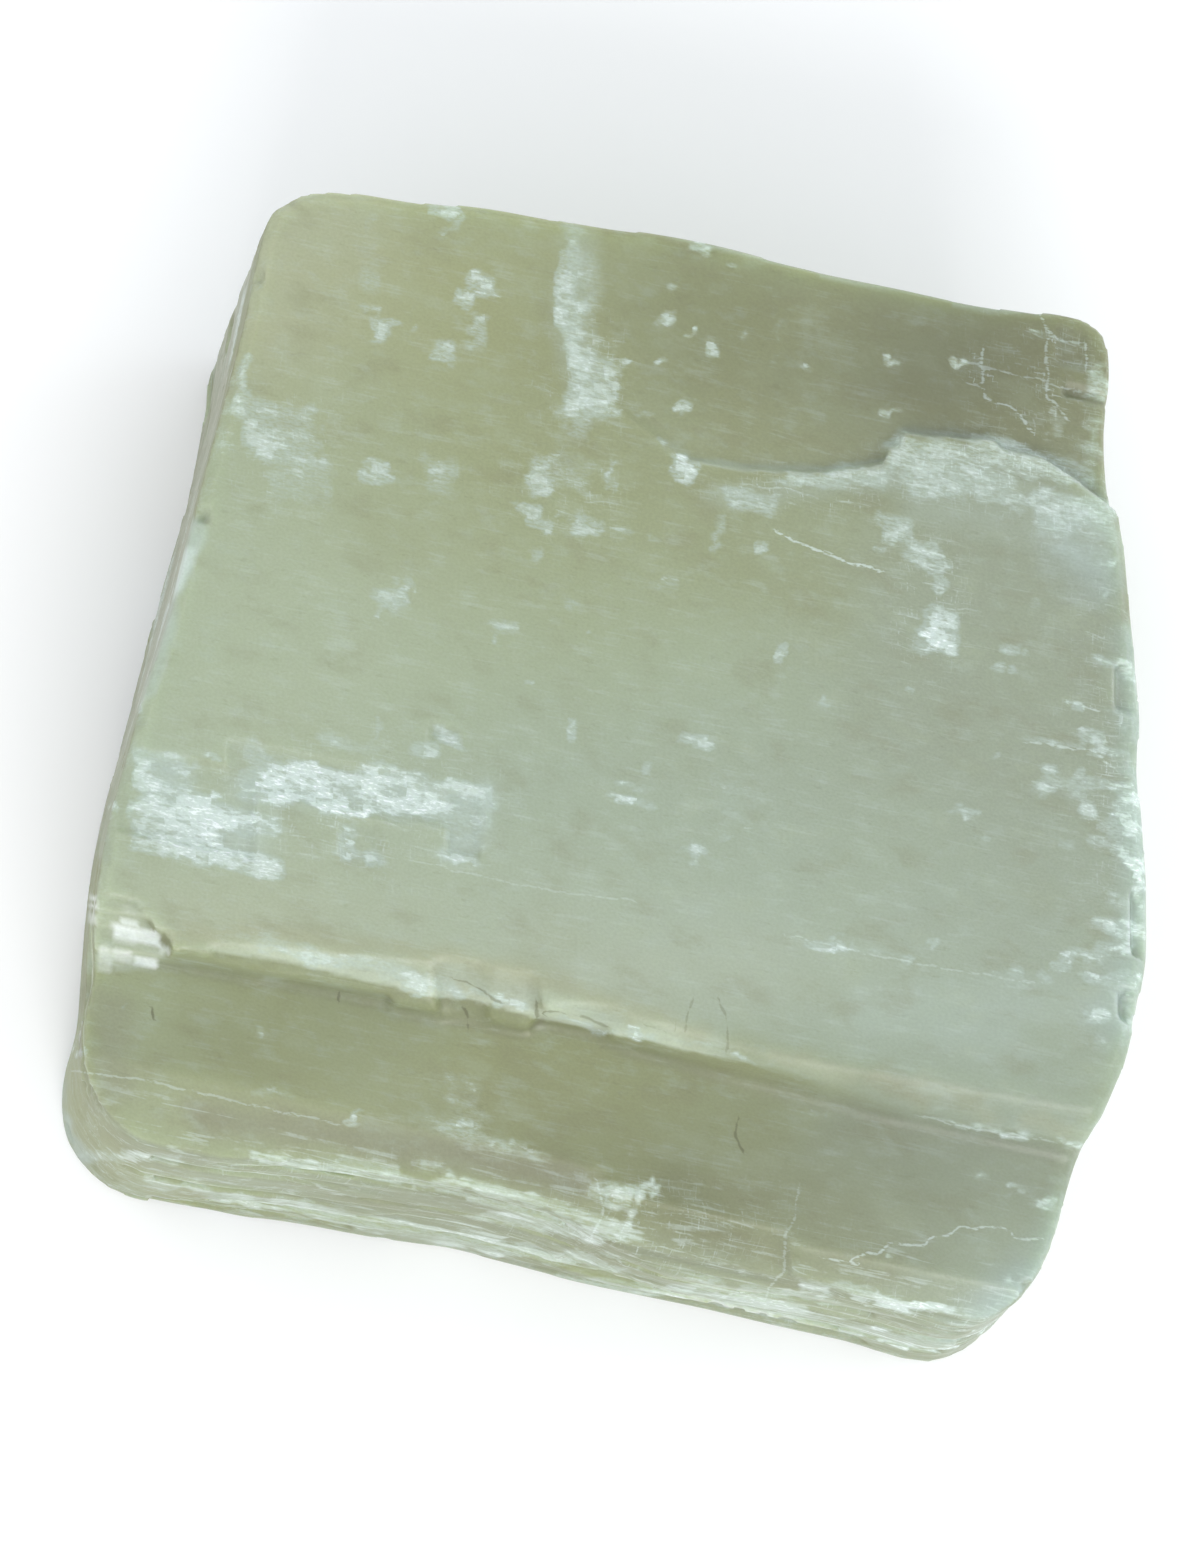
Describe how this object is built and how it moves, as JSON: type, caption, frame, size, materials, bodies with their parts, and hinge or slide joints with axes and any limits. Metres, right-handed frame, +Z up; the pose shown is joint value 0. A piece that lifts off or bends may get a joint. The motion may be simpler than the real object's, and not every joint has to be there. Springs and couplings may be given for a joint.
{
  "type": "green calcite cleavage block",
  "caption": "Hand-sized block of translucent green calcite with a stepped top face, leaning cleavage sides and worn corners.",
  "frame": {"origin": "centre of the bounding box in plan, on the bottom cleavage face that the block rests on", "axes": "+Z up through the top cleavage face, +Y from the shelf at the front towards the terrace at the back, +X to the right"},
  "size_m": [0.0864, 0.09, 0.034],
  "materials": {
    "calcite": "waxy, translucent, satin"
  },
  "bodies": {
    "root": {"green_calcite": "calcite"}
  },
  "joints": []
}
